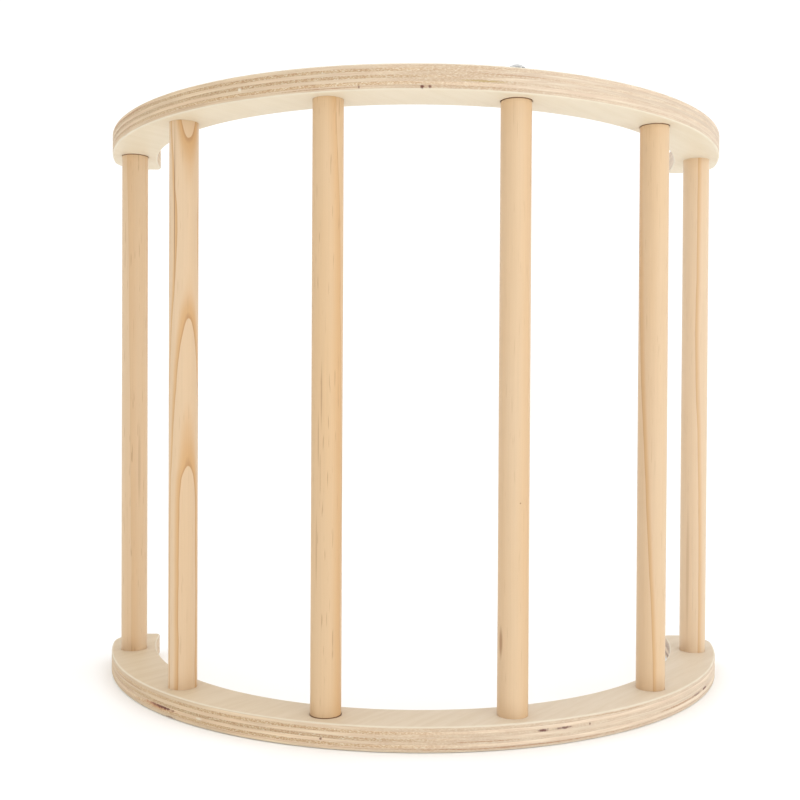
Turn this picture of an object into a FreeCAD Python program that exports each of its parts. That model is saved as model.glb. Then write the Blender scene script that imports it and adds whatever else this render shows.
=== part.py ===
import FreeCAD, Part
import math
import os

import Sketcher
from FreeCAD import Placement, Rotation, Vector

# A free-standing curved barrier in wood: two C-shaped plywood rails, one above the other,
# held apart by six round dowels on one arc. Every dowel end sits in a blind socket and is
# drawn up by a button-head bolt that screws into a threaded insert inside the dowel.
#
# Frame: millimetres, +Z up, origin at the bottom centre of the box around the rails.
# The rails bulge towards -Y and are open towards +Y. Dowels are numbered from -X to +X.

DOWEL_COUNT = 6
RAISED_BOLT = 4  # the top bolt that stands proud of its rail

# Driving dimensions in millimetres, angles in degrees.
DIMENSIONS = [
    ("dowel_circle_radius", 254.0),
    ("dowel_step_angle", 30.0),
    ("dowel_diameter", 22.0),
    ("dowel_end_chamfer", 0.8),
    ("clear_gap", 430.0),
    ("rail_width", 38.0),
    ("rail_thickness", 18.0),
    ("rail_end_setback", 12.0),
    ("outer_corner_radius", 25.0),
    ("inner_corner_radius", 4.0),
    ("edge_round", 1.5),
    ("socket_depth", 8.0),
    ("socket_clearance", 0.3),
    ("counterbore_diameter", 15.0),
    ("counterbore_depth", 4.0),
    ("bolt_hole_diameter", 6.6),
    ("bolt_diameter", 6.0),
    ("bolt_length", 20.0),
    ("bolt_tip_chamfer", 0.8),
    ("head_diameter", 13.6),
    ("head_height", 3.3),
    ("head_rim_height", 0.5),
    ("head_flat_diameter", 6.0),
    ("key_socket_width", 4.0),
    ("key_socket_depth", 2.1),
    ("raised_head_height", 7.0),
    ("insert_diameter", 10.0),
    ("insert_root_diameter", 8.6),
    ("insert_length", 13.0),
    ("insert_collar", 1.0),
    ("insert_ridge_pitch", 2.4),
    ("insert_bore_diameter", 6.1),
    ("insert_clearance", 0.05),
    ("drilled_depth", 16.0),
    ("drill_tip_height", 3.0),
]
RIDGE_COUNT = 5  # turns of coarse thread round an insert


class Size:
    """A number together with the spreadsheet formula that gives it."""

    def __init__(self, value, formula):
        self.value = value
        self.formula = formula

    def joined(self, sign, other, value):
        text = other.formula if isinstance(other, Size) else str(other)
        return Size(value, "({} {} {})".format(self.formula, sign, text))

    def __add__(self, other):
        return self.joined("+", other, self.value + number(other))

    def __sub__(self, other):
        return self.joined("-", other, self.value - number(other))

    def __mul__(self, other):
        return self.joined("*", other, self.value * number(other))

    def __truediv__(self, other):
        return self.joined("/", other, self.value / number(other))

    def __neg__(self):
        return self * -1


def number(item):
    return item.value if isinstance(item, Size) else item


def sine(angle):
    return Size(math.sin(math.radians(angle.value)), "sin({})".format(angle.formula))


def cosine(angle):
    return Size(math.cos(math.radians(angle.value)), "cos({})".format(angle.formula))


def fill_sheet(document):
    """Write the driving dimensions into a spreadsheet and return them as sizes."""
    sheet = document.addObject("Spreadsheet::Sheet", "Dimensions")
    sizes = {}
    for row, (name, value) in enumerate(DIMENSIONS, start=1):
        sheet.set("A{}".format(row), name)
        sheet.set("B{}".format(row), str(value))
        sheet.setAlias("B{}".format(row), name)
        sizes[name] = Size(value, "Dimensions." + name)
    document.recompute()
    return sizes


doc = FreeCAD.newDocument("curved_barrier")
size = fill_sheet(doc)

ZERO = Size(0.0, "0")
RAIL_OUTER_RADIUS = size["dowel_circle_radius"] + size["rail_width"] / 2
RAIL_INNER_RADIUS = size["dowel_circle_radius"] - size["rail_width"] / 2
TOTAL_HEIGHT = size["clear_gap"] + size["rail_thickness"] * 2
ARC_CENTRE_Y = (RAIL_OUTER_RADIUS + size["rail_end_setback"]) / 2
DOWEL_RADIUS = size["dowel_diameter"] / 2
DOWEL_BASE_Z = size["rail_thickness"] - size["socket_depth"]
DOWEL_LENGTH = size["clear_gap"] + size["socket_depth"] * 2
UPSIDE_DOWN = Rotation(Vector(0, 1, 0), 180)
UPRIGHT = Rotation()


# ---------------------------------------------------------------- helpers

def new_body(name, place, rotation=UPRIGHT):
    """Make a body whose position follows the sheet."""
    body = doc.addObject("PartDesign::Body", name)
    body.Label = name
    body.Placement = Placement(Vector(*[number(p) for p in place]), rotation)
    for axis, coordinate in zip("xyz", place):
        body.setExpression(".Placement.Base." + axis, coordinate.formula)
    return body


def origin_feature(body, role):
    return [item for item in body.Origin.OriginFeatures if item.Role == role][0]


def new_sketch(body, name, plane="XY_Plane", offset=None):
    """Attach a sketch to one of the body's own origin planes, raised by offset."""
    sketch = body.newObject("Sketcher::SketchObject", name)
    sketch.AttachmentSupport = [(origin_feature(body, plane), "")]
    sketch.MapMode = "FlatFace"
    if offset is not None:
        sketch.setExpression(".AttachmentOffset.Base.z", offset.formula)
    return sketch


def constrain(sketch, kind, references, length):
    """Add one dimension to a sketch and tie it to the sheet."""
    index = sketch.addConstraint(Sketcher.Constraint(kind, *references, length.value))
    sketch.setExpression("Constraints[{}]".format(index), length.formula)


def pin_point(sketch, geometry, end, x, y):
    """Fix a point of the sketch at x, y measured from its origin."""
    for kind, axis, coordinate in (("DistanceX", -2, x), ("DistanceY", -1, y)):
        if coordinate is ZERO:
            sketch.addConstraint(Sketcher.Constraint("PointOnObject", geometry, end, axis))
        else:
            constrain(sketch, kind, (-1, 1, geometry, end), coordinate)


def draw_circle(sketch, x, y, radius):
    circle = Part.Circle(Vector(x.value, y.value, 0), Vector(0, 0, 1), radius.value)
    index = sketch.addGeometry(circle)
    pin_point(sketch, index, 3, x, y)
    constrain(sketch, "Radius", (index,), radius)


def draw_polygon(sketch, corners, domed_side=None, dome_radius=None):
    """Draw a closed outline through corners; one side may be an arc about the Y axis."""
    points = [Vector(x.value, y.value, 0) for x, y in corners]
    count = len(points)
    for side in range(count):
        start, end = points[side], points[(side + 1) % count]
        if side == domed_side:
            sketch.addGeometry(dome_arc(start, end, dome_radius))
        else:
            sketch.addGeometry(Part.LineSegment(start, end))
    for side in range(count):
        following = (side + 1) % count
        sketch.addConstraint(Sketcher.Constraint("Coincident", side, 2, following, 1))
    for side, (x, y) in enumerate(corners):
        pin_point(sketch, side, 1, x, y)
    if domed_side is not None:
        sketch.addConstraint(Sketcher.Constraint("PointOnObject", domed_side, 3, -2))


def dome_arc(start, end, radius):
    """An arc of a circle whose centre is on the Y axis, counter-clockwise from start to end."""
    centre_y = end.y - math.sqrt(radius ** 2 - end.x ** 2)
    angles = [math.atan2(p.y - centre_y, p.x) for p in (start, end)]
    circle = Part.Circle(Vector(0, centre_y, 0), Vector(0, 0, 1), radius)
    return Part.ArcOfCircle(circle, *angles)


def feature(body, kind, name, **settings):
    """Add a feature, recompute, and make sure that it changed the body."""
    before = body.Shape.Volume if body.Tip else 0.0
    item = body.newObject(kind, name)
    for key, value in settings.items():
        if isinstance(value, Size):
            item.setExpression(key, value.formula)
        else:
            setattr(item, key, value)
    body.Tip = item
    doc.recompute()
    if abs(body.Shape.Volume - before) < 1e-3:
        raise RuntimeError("{} changed nothing in {}".format(name, body.Label))
    return item


def revolve(body, sketch):
    return feature(body, "PartDesign::Revolution", "turned", Profile=sketch,
                   ReferenceAxis=(sketch, ["V_Axis"]), Angle=360.0)


def dowel_place(index):
    """Plan position of dowel 1 to DOWEL_COUNT in the frame of the whole object."""
    angle = size["dowel_step_angle"] * (index - (DOWEL_COUNT + 1) / 2)
    radius = size["dowel_circle_radius"]
    return radius * sine(angle), ARC_CENTRE_Y - radius * cosine(angle)


# ---------------------------------------------------------------- rails

def corner_centre(arc_radius, corner_radius, side):
    """Centre of a round corner between a rail arc and the rail's flat end."""
    y = -(size["rail_end_setback"].value + corner_radius)
    return Vector(side * math.sqrt(arc_radius ** 2 - y ** 2), y, 0)


def draw_rail_outline(sketch):
    """The C outline: two concentric arcs, two flat ends and four round corners."""
    end_y = -size["rail_end_setback"].value
    outer, inner = RAIL_OUTER_RADIUS.value, RAIL_INNER_RADIUS.value
    big, small = size["outer_corner_radius"].value, size["inner_corner_radius"].value
    up = Vector(0, 0, 1)
    outer_corner = corner_centre(outer - big, big, 1)
    inner_corner = corner_centre(inner + small, small, 1)
    outer_angle = math.atan2(outer_corner.y, outer_corner.x)
    inner_angle = math.atan2(inner_corner.y, inner_corner.x)

    def arc(centre, radius, start, end):
        return Part.ArcOfCircle(Part.Circle(centre, up, radius), start, end)

    def mirrored(centre):
        return Vector(-centre.x, centre.y, 0)

    def end_line(first, last):
        return Part.LineSegment(Vector(first, end_y, 0), Vector(last, end_y, 0))

    half_turn = math.pi
    sketch.addGeometry([
        arc(Vector(), outer, -half_turn - outer_angle, outer_angle),
        arc(outer_corner, big, outer_angle, half_turn / 2),
        end_line(outer_corner.x, inner_corner.x),
        arc(inner_corner, small, half_turn / 2, half_turn + inner_angle),
        arc(Vector(), inner, -half_turn - inner_angle, inner_angle),
        arc(mirrored(inner_corner), small, -inner_angle, half_turn / 2),
        end_line(-inner_corner.x, -outer_corner.x),
        arc(mirrored(outer_corner), big, half_turn / 2, half_turn - outer_angle),
    ])
    # Each pair below is a joint between two outline pieces: (piece, end, piece, end).
    for joint in ((0, 2, 1, 1), (1, 2, 2, 1), (2, 2, 3, 1), (3, 2, 4, 2),
                  (4, 1, 5, 1), (5, 2, 6, 1), (6, 2, 7, 1), (7, 2, 0, 1)):
        sketch.addConstraint(Sketcher.Constraint("Tangent", *joint))
    for arc_index in (0, 4):
        sketch.addConstraint(Sketcher.Constraint("Coincident", arc_index, 3, -1, 1))
    constrain(sketch, "Radius", (0,), RAIL_OUTER_RADIUS)
    constrain(sketch, "Radius", (4,), RAIL_INNER_RADIUS)
    for corner in (1, 7):
        constrain(sketch, "Radius", (corner,), size["outer_corner_radius"])
    for corner in (3, 5):
        constrain(sketch, "Radius", (corner,), size["inner_corner_radius"])
    for line in (2, 6):
        constrain(sketch, "DistanceY", (-1, 1, line, 1), -size["rail_end_setback"])


def flat_face_edges(shape, thickness):
    """Names of the edges that run round the two flat faces."""
    names = []
    for index, edge in enumerate(shape.Edges, start=1):
        box = edge.BoundBox
        if box.ZLength < 1e-6 and min(abs(box.ZMin), abs(box.ZMin - thickness)) < 1e-6:
            names.append("Edge{}".format(index))
    return names


def drill(body, name, height, diameter, upward=False, length=None):
    """Cut one round hole on the first dowel's axis from height, right through if no length."""
    sketch = new_sketch(body, name + "_sketch", offset=height)
    angle = size["dowel_step_angle"] * (1 - (DOWEL_COUNT + 1) / 2)
    radius = size["dowel_circle_radius"]
    draw_circle(sketch, radius * sine(angle), -radius * cosine(angle), diameter / 2)
    settings = {"Length": length} if length else {"Type": "ThroughAll"}
    return feature(body, "PartDesign::Pocket", name, Profile=sketch, Reversed=upward, **settings)


def make_rail(name, height, rotation):
    """One rail; its sockets open towards local +Z and its bolt heads sink in from below."""
    body = new_body(name, (ZERO, ARC_CENTRE_Y, height), rotation)
    thickness = size["rail_thickness"]
    outline = new_sketch(body, "outline")
    draw_rail_outline(outline)
    board = feature(body, "PartDesign::Pad", "board", Profile=outline, Length=thickness)
    edges = flat_face_edges(board.Shape, thickness.value)
    feature(body, "PartDesign::Fillet", "eased_edges", Base=(board, edges),
            Radius=size["edge_round"])
    socket = drill(body, "dowel_socket", thickness,
                   size["dowel_diameter"] + size["socket_clearance"] * 2,
                   length=size["socket_depth"])
    bolt_hole = drill(body, "bolt_hole", thickness, size["bolt_hole_diameter"])
    counterbore = drill(body, "counterbore", ZERO, size["counterbore_diameter"],
                        upward=True, length=size["counterbore_depth"])
    feature(body, "PartDesign::PolarPattern", "dowel_pattern",
            Originals=[socket, bolt_hole, counterbore],
            Axis=(origin_feature(body, "Z_Axis"), [""]),
            Occurrences=DOWEL_COUNT, Angle=size["dowel_step_angle"] * (DOWEL_COUNT - 1))
    return body


# ---------------------------------------------------------------- dowels

def make_dowel(index):
    """A round bar with chamfered ends, drilled at both ends for the inserts."""
    body = new_body("dowel_{}".format(index), (*dowel_place(index), DOWEL_BASE_Z))
    chamfer = size["dowel_end_chamfer"]
    bore = size["insert_diameter"] / 2 + size["insert_clearance"]
    depth = size["drilled_depth"]
    tip = depth + size["drill_tip_height"]
    profile = new_sketch(body, "profile", "XZ_Plane")
    draw_polygon(profile, [
        (bore, ZERO),
        (DOWEL_RADIUS - chamfer, ZERO),
        (DOWEL_RADIUS, chamfer),
        (DOWEL_RADIUS, DOWEL_LENGTH - chamfer),
        (DOWEL_RADIUS - chamfer, DOWEL_LENGTH),
        (bore, DOWEL_LENGTH),
        (bore, DOWEL_LENGTH - depth),
        (ZERO, DOWEL_LENGTH - tip),
        (ZERO, tip),
        (bore, depth),
    ])
    revolve(body, profile)
    return body


# ---------------------------------------------------------------- fasteners

def fastener_place(index, top, inset):
    """Place something on a dowel's axis, inset from the top or bottom of the object."""
    height = TOTAL_HEIGHT - inset if top else inset
    return (*dowel_place(index), height), UPRIGHT if top else UPSIDE_DOWN


def make_bolt(name, index, top, inset):
    """A button-head bolt; local +Z is its head and z = 0 is the seat under the head."""
    body = new_body(name, *fastener_place(index, top, inset))
    rim = size["head_diameter"] / 2
    rim_height = size["head_rim_height"]
    flat = size["head_flat_diameter"] / 2
    height = size["head_height"]
    shank = size["bolt_diameter"] / 2
    chamfer = size["bolt_tip_chamfer"]
    dome = dome_radius(rim, rim_height, flat, height)
    profile = new_sketch(body, "profile", "XZ_Plane")
    draw_polygon(profile, [
        (ZERO, -size["bolt_length"]),
        (shank - chamfer, -size["bolt_length"]),
        (shank, chamfer - size["bolt_length"]),
        (shank, ZERO),
        (rim, ZERO),
        (rim, rim_height),
        (flat, height),
        (ZERO, height),
    ], domed_side=5, dome_radius=dome)
    revolve(body, profile)
    key_sketch = new_sketch(body, "key_outline", offset=height)
    reach = size["key_socket_width"] / math.sqrt(3)
    corner_angles = [Size(60.0 * corner, str(60 * corner)) for corner in range(6)]
    draw_polygon(key_sketch, [(reach * cosine(a), reach * sine(a) if a.value % 180 else ZERO)
                              for a in corner_angles])
    feature(body, "PartDesign::Pocket", "key_socket", Profile=key_sketch,
            Length=size["key_socket_depth"])
    return body


def dome_radius(rim, rim_height, flat, height):
    """Radius of the sphere through the head's rim and the edge of its flat top."""
    rise = height.value - rim_height.value
    below = (rim.value ** 2 - flat.value ** 2 - rise ** 2) / (2 * rise)
    return math.hypot(flat.value, rise + below)


def make_insert(name, index, top):
    """A screw-in sleeve; local z = 0 is its outer end and it runs towards local -Z."""
    inset = DOWEL_BASE_Z
    body = new_body(name, *fastener_place(index, top, inset))
    bore = size["insert_bore_diameter"] / 2
    root = size["insert_root_diameter"] / 2
    crest = size["insert_diameter"] / 2
    collar = size["insert_collar"]
    pitch = size["insert_ridge_pitch"]
    corners = [(bore, ZERO), (crest, ZERO), (crest, -collar)]
    for turn in range(RIDGE_COUNT):
        start = collar + pitch * turn
        corners += [(root, -(start + pitch / 4)), (crest, -(start + pitch / 2))]
        corners += [(root, -(start + pitch * 3 / 4))]
    corners += [(root, -size["insert_length"]), (bore, -size["insert_length"])]
    profile = new_sketch(body, "profile", "XZ_Plane")
    draw_polygon(profile, corners)
    revolve(body, profile)
    return body


# ---------------------------------------------------------------- assembly

def build_all():
    pieces = [make_rail("bottom_rail", ZERO, UPRIGHT),
              make_rail("top_rail", TOTAL_HEIGHT, UPSIDE_DOWN)]
    seated = size["counterbore_depth"]
    raised = size["head_height"] - size["raised_head_height"]
    for index in range(1, DOWEL_COUNT + 1):
        pieces.append(make_dowel(index))
        top_inset = raised if index == RAISED_BOLT else seated
        pieces.append(make_bolt("top_bolt_{}".format(index), index, True, top_inset))
        pieces.append(make_bolt("bottom_bolt_{}".format(index), index, False, seated))
        pieces.append(make_insert("top_insert_{}".format(index), index, True))
        pieces.append(make_insert("bottom_insert_{}".format(index), index, False))
    return pieces


def check_all(pieces):
    """Stop if any object of the document failed or any piece isn't one valid solid."""
    for item in doc.Objects:
        if "Invalid" in item.State or "Error" in item.State:
            raise RuntimeError("{} failed: {}".format(item.Label, item.State))
    for piece in pieces:
        shape = piece.Shape
        if shape.isNull() or not shape.isValid() or len(shape.Solids) != 1:
            raise RuntimeError("{} isn't one valid solid".format(piece.Label))


def export_all(pieces):
    os.makedirs("parts", exist_ok=True)
    for piece in pieces:
        piece.Shape.exportStep(os.path.join("parts", piece.Label + ".step"))
        box = piece.Shape.BoundBox
        print("{:18s} {:10.1f} mm3  x {:7.1f} {:7.1f}  y {:7.1f} {:7.1f}  z {:6.1f} {:6.1f}".format(
            piece.Label, piece.Shape.Volume, box.XMin, box.XMax, box.YMin, box.YMax,
            box.ZMin, box.ZMax))


barrier = build_all()
doc.recompute()
check_all(barrier)
export_all(barrier)
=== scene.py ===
import math
from types import SimpleNamespace

import bpy
from mathutils import Matrix, Vector


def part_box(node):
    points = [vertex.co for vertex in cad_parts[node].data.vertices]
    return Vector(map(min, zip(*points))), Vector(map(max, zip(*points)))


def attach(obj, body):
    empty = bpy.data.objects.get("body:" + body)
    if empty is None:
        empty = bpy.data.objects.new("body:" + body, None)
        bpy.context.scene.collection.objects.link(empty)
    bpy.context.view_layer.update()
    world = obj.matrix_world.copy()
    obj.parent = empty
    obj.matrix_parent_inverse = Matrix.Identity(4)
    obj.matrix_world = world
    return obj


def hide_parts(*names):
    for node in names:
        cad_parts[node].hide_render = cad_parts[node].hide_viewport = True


# A curved wooden barrier: two C-shaped plywood rails and six turned pine bars, held together by
# button-head bolts. Everything is in metres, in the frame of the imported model: +Z up, the rails
# bulge towards -Y. A bearing is an angle round the rails' centre line: 0 at the front (-Y),
# positive towards +X.

MM = 0.001
BAR_COUNT = 6

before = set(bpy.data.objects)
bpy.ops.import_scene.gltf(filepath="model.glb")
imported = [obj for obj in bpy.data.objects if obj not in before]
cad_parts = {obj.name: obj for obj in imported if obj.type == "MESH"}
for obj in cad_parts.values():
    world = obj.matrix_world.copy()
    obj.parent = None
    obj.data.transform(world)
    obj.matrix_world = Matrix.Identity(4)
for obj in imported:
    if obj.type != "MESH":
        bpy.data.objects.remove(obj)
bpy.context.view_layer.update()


# ---------------------------------------------------------------- sizes, from the frame

def node_centre(node):
    low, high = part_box(node)
    return (Vector(low) + Vector(high)) / 2


def circle_centre_y(a, b):
    """Where on the Y axis the centre of a circle through a and b lies."""
    return (a.x ** 2 + a.y ** 2 - b.x ** 2 - b.y ** 2) / (2 * (a.y - b.y))


RAIL_LOW, RAIL_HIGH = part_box("bottom_rail")
BAR_LOW, BAR_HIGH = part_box("dowel_1")
BAR_PLACES = [node_centre("dowel_{}".format(i + 1)) for i in range(BAR_COUNT)]
CENTRE_Y = circle_centre_y(BAR_PLACES[0], BAR_PLACES[BAR_COUNT // 2])
BAR_CIRCLE = math.hypot(BAR_PLACES[0].x, BAR_PLACES[0].y - CENTRE_Y)
OUTER_RADIUS = CENTRE_Y - RAIL_LOW.y
INNER_RADIUS = 2 * BAR_CIRCLE - OUTER_RADIUS
END_SETBACK = CENTRE_Y - RAIL_HIGH.y
THICKNESS = RAIL_HIGH.z
TOTAL_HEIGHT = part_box("top_rail")[1].z
BAR_RADIUS = (BAR_HIGH.x - BAR_LOW.x) / 2
BAR_LENGTH = BAR_HIGH.z - BAR_LOW.z
SOCKET_FLOOR = BAR_LOW.z

OUTER_CORNER = 25 * MM
INNER_CORNER = 4 * MM
EDGE_ROUND = 1.5 * MM
TIGHT_GAP = 0.05 * MM
LOOSE_GAP = 0.3 * MM
COUNTERBORE_RADIUS = 7.5 * MM
COUNTERBORE_DEPTH = 4 * MM
BOLT_HOLE_RADIUS = 3.3 * MM
RIM_CHAMFER = 0.25 * MM
BAR_CHAMFER = 0.8 * MM
DRILL_RADIUS = 5.05 * MM
DRILL_DEPTH = 16 * MM
DRILL_TIP = 3 * MM
SOFT_ANGLE = 35  # degrees; a fold in wood sharper than this shows as an edge
METAL_SOFT_ANGLE = 40

# The board: a thin veneer on each face and seven thicker cores between them.
FACE_VENEER = 1.0 * MM
CORE_COUNT = 7
CORE = (THICKNESS - 2 * FACE_VENEER) / CORE_COUNT


# ---------------------------------------------------------------- shader graphs

class Graph:
    """The nodes of one material. Each method adds a node and returns its output socket."""

    def __init__(self, name):
        self.material = bpy.data.materials.new(name)
        self.material.use_nodes = True
        self.tree = self.material.node_tree
        self.shader = self.tree.nodes["Principled BSDF"]

    def node(self, kind, *inputs, **settings):
        made = self.tree.nodes.new("ShaderNode" + kind)
        for key, value in settings.items():
            setattr(made, key, value)
        for socket, value in zip(made.inputs, inputs):
            self.feed(socket, value)
        return made.outputs[0]

    def feed(self, socket, value):
        if isinstance(value, bpy.types.NodeSocket):
            self.tree.links.new(value, socket)
        else:
            socket.default_value = value

    def calc(self, operation, *values):
        return self.node("Math", *values, operation=operation)

    def add(self, *values):
        total = values[0]
        for value in values[1:]:
            total = self.calc("ADD", total, value)
        return total

    def times(self, *values):
        product = values[0]
        for value in values[1:]:
            product = self.calc("MULTIPLY", product, value)
        return product

    def less(self, a, b):
        return self.calc("SUBTRACT", a, b)

    def ramp(self, value, start, end):
        """0 below start and 1 above end, smooth between; start may be the larger."""
        made = self.tree.nodes.new("ShaderNodeMapRange")
        made.interpolation_type = "SMOOTHSTEP"
        low, high = (0.0, 1.0) if start < end else (1.0, 0.0)
        for socket, item in zip(made.inputs, (value, min(start, end), max(start, end), low, high)):
            self.feed(socket, item)
        return made.outputs[0]

    def length(self, a, b):
        return self.calc("SQRT", self.add(self.times(a, a), self.times(b, b)))

    def mix(self, blend, factor, a, b):
        made = self.tree.nodes.new("ShaderNodeMix")
        made.data_type = "RGBA"
        made.blend_type = blend
        for socket, item in zip((made.inputs[0], made.inputs[6], made.inputs[7]), (factor, a, b)):
            self.feed(socket, item)
        return made.outputs[2]

    def colours(self, factor, a, b):
        """a where factor is 0 and b where it is 1; each is a colour or a socket."""
        return self.mix("MIX", factor, a, b)

    def tint(self, colour, filter_colour):
        return self.mix("MULTIPLY", 1.0, colour, filter_colour)

    def tone(self, *swings):
        """A factor about 1, from pairs of a field that swings about 0.5 and its strength."""
        return self.add(1.0, *[self.times(self.less(field, 0.5), strength)
                               for field, strength in swings])

    def shade(self, colour, tone):
        """A colour made lighter or darker by a factor."""
        return self.tint(colour, self.node("CombineXYZ", tone, tone, tone))

    def curve(self, value, points):
        """A smooth curve through pairs of value and result, level beyond both ends."""
        left, right = points[0][0], points[-1][0]
        results = [result for spot, result in points]
        low, span = min(results), max(results) - min(results)
        made = self.tree.nodes.new("ShaderNodeFloatCurve")
        scaled = self.times(self.less(value, left), 1 / (right - left))
        self.feed(made.inputs["Value"], self.calc("MINIMUM", self.calc("MAXIMUM", scaled, 0.0), 1.0))
        curve = made.mapping.curves[0]
        spots = [((spot - left) / (right - left), (result - low) / span) for spot, result in points]
        curve.points[0].location = spots[0]
        curve.points[1].location = spots[-1]
        for spot in spots[1:-1]:
            curve.points.new(*spot)
        made.mapping.update()
        return self.add(self.times(made.outputs[0], span), low)

    def xyz(self, vector):
        made = self.tree.nodes.new("ShaderNodeSeparateXYZ")
        self.feed(made.inputs[0], vector)
        return made.outputs

    def position(self):
        made = self.tree.nodes.new("ShaderNodeTexCoord")
        return self.xyz(made.outputs["Object"])

    def normal(self):
        made = self.tree.nodes.new("ShaderNodeTexCoord")
        return self.xyz(made.outputs["Normal"])

    def noise(self, point, cells, shift=0.0, detail=2.0, roughness=0.5):
        """Noise from 0 to 1 about 0.5.

        cells is the number of noise cells to a metre along each coordinate of point. shift moves
        the third one, in cells, to reach another stretch of the same noise.
        """
        x, y, z = [self.times(value, count) for value, count in zip(point, cells)]
        made = self.tree.nodes.new("ShaderNodeTexNoise")
        self.feed(made.inputs["Vector"], self.node("CombineXYZ", x, y, self.add(z, shift)))
        self.feed(made.inputs["Scale"], 1.0)
        self.feed(made.inputs["Detail"], detail)
        self.feed(made.inputs["Roughness"], roughness)
        return made.outputs[0]

    def finish(self, colour, roughness, height, depth, **constants):
        """Join colour, roughness and bump height to the shader."""
        bump = self.tree.nodes.new("ShaderNodeBump")
        self.feed(bump.inputs["Height"], height)
        self.feed(bump.inputs["Distance"], depth)
        self.tree.links.new(bump.outputs[0], self.shader.inputs["Normal"])
        self.feed(self.shader.inputs["Base Color"], colour)
        self.feed(self.shader.inputs["Roughness"], roughness)
        for name, value in constants.items():
            self.shader.inputs[name.replace("_", " ")].default_value = value
        return self.material


LIGHT_LEVEL = 1.25  # light falling on the object, against what makes pure white read as white


def rgb(red, green, blue):
    """The surface colour that looks like this, 0 to 255 on screen, in the studio's light."""
    def linear(value):
        part = value / 255
        bright = part / 12.92 if part <= 0.04045 else ((part + 0.055) / 1.055) ** 2.4
        return bright / LIGHT_LEVEL
    return (linear(red), linear(green), linear(blue), 1.0)


# ---------------------------------------------------------------- plywood

class Mark:
    """A stain, knot, gap or painted shade in the edge of one ply, on a rail's outer or inner side.

    bearing is in degrees; depth below the board's upper face, length and height are in mm.
    """

    def __init__(self, bearing, depth, length, height, colour, strength, inner=False):
        self.bearing = math.radians(bearing)
        self.depth = depth * MM
        self.length = length * MM
        self.height = height * MM
        self.colour = colour
        self.strength = strength
        self.inner = inner


# Dark brown of knots, and of the painted shade on the bottom rail's inner wall.
KNOT_AND_SHADE_BROWN = rgb(104, 44, 34)
PURPLE_BROWN = rgb(120, 78, 72)
ORANGE = rgb(204, 132, 84)
GLUE_BROWN = rgb(178, 124, 84)
OLIVE = rgb(198, 172, 112)
CREAM = rgb(250, 240, 218)

PLY_LIGHT = rgb(244, 227, 202)
PLY_PINK = rgb(236, 211, 185)
PLY_END_LIGHT = rgb(232, 206, 172)
PLY_END_DARK = rgb(204, 164, 126)
# Painted shade: the left side of each rail, away from the key light, is tinted darker and warmer.
LEFT_SHADE_TINT = (0.93, 0.875, 0.76, 1.0)
WHITE = (1.0, 1.0, 1.0, 1.0)
GRAIN_ANGLE = math.radians(-40)  # bearing of the grain in the even plies
GRAIN_X, GRAIN_Y = math.sin(GRAIN_ANGLE), -math.cos(GRAIN_ANGLE)
WOOD_RELIEF = 0.05 * MM

# Each mark is given by its bearing, depth, length, height, colour and strength.
BOTTOM_MARKS = [
    Mark(0.0, 15.5, 2000.0, 0.6, GLUE_BROWN, 0.35),
    Mark(-46.0, 12.0, 52.0, 3.6, ORANGE, 0.7),
    Mark(-44.8, 11.6, 36.0, 2.8, KNOT_AND_SHADE_BROWN, 0.8),
    Mark(-43.8, 11.5, 18.0, 2.2, KNOT_AND_SHADE_BROWN, 0.7),
    Mark(-57.0, 5.9, 90.0, 1.7, GLUE_BROWN, 0.5),
    Mark(-61.0, 10.9, 75.0, 1.6, GLUE_BROWN, 0.45),
    Mark(-60.0, 13.4, 90.0, 1.4, CREAM, 0.4),
    Mark(-42.5, 16.8, 14.0, 1.6, PURPLE_BROWN, 0.7),
    Mark(-35.7, 11.5, 7.0, 2.2, CREAM, 0.8),
    Mark(-14.4, 11.0, 2.4, 2.4, KNOT_AND_SHADE_BROWN, 0.75),
    Mark(18.2, 6.7, 11.0, 2.4, PURPLE_BROWN, 0.95),
    Mark(21.6, 6.7, 18.0, 2.0, PURPLE_BROWN, 0.85),
    Mark(26.2, 6.6, 2.0, 2.4, PURPLE_BROWN, 0.8),
    Mark(48.0, 11.4, 80.0, 1.6, GLUE_BROWN, 0.6),
    Mark(54.5, 11.3, 24.0, 2.2, PURPLE_BROWN, 0.6),
    Mark(58.6, 11.3, 15.0, 2.3, KNOT_AND_SHADE_BROWN, 0.9),
    Mark(31.5, 1.9, 80.0, 0.9, GLUE_BROWN, 0.5),
    Mark(9.0, 11.0, 60.0, 0.8, GLUE_BROWN, 0.7),
    Mark(16.0, 15.7, 210.0, 1.0, GLUE_BROWN, 0.5),
    # Partly dark end grain and partly painted shade: the inner wall near the right end, in shadow.
    Mark(81.0, 5.5, 130.0, 9.0, KNOT_AND_SHADE_BROWN, 0.45, inner=True),
    Mark(81.0, 13.6, 130.0, 4.0, KNOT_AND_SHADE_BROWN, 0.65, inner=True),
]
TOP_MARKS = [
    Mark(0.0, 15.5, 2000.0, 0.5, GLUE_BROWN, 0.25),
    Mark(-0.2, 16.1, 3.2, 2.8, KNOT_AND_SHADE_BROWN, 0.9),
    Mark(0.9, 16.1, 3.0, 2.6, KNOT_AND_SHADE_BROWN, 0.8),
    Mark(-15.0, 15.9, 74.0, 0.6, GLUE_BROWN, 0.8),
    Mark(-9.2, 15.7, 1.6, 2.8, KNOT_AND_SHADE_BROWN, 0.6),
    Mark(-28.0, 9.9, 4.0, 3.2, CREAM, 0.8),
    Mark(8.6, 11.1, 38.0, 1.5, OLIVE, 0.8),
    Mark(14.0, 6.2, 80.0, 1.0, GLUE_BROWN, 0.4),
    Mark(-60.0, 3.0, 140.0, 2.0, GLUE_BROWN, 0.6),
    Mark(-62.0, 8.0, 90.0, 1.8, GLUE_BROWN, 0.4),
    Mark(-62.0, 13.0, 90.0, 1.8, GLUE_BROWN, 0.35),
    Mark(22.0, 13.3, 200.0, 0.9, PLY_PINK, 0.8),
]


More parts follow.
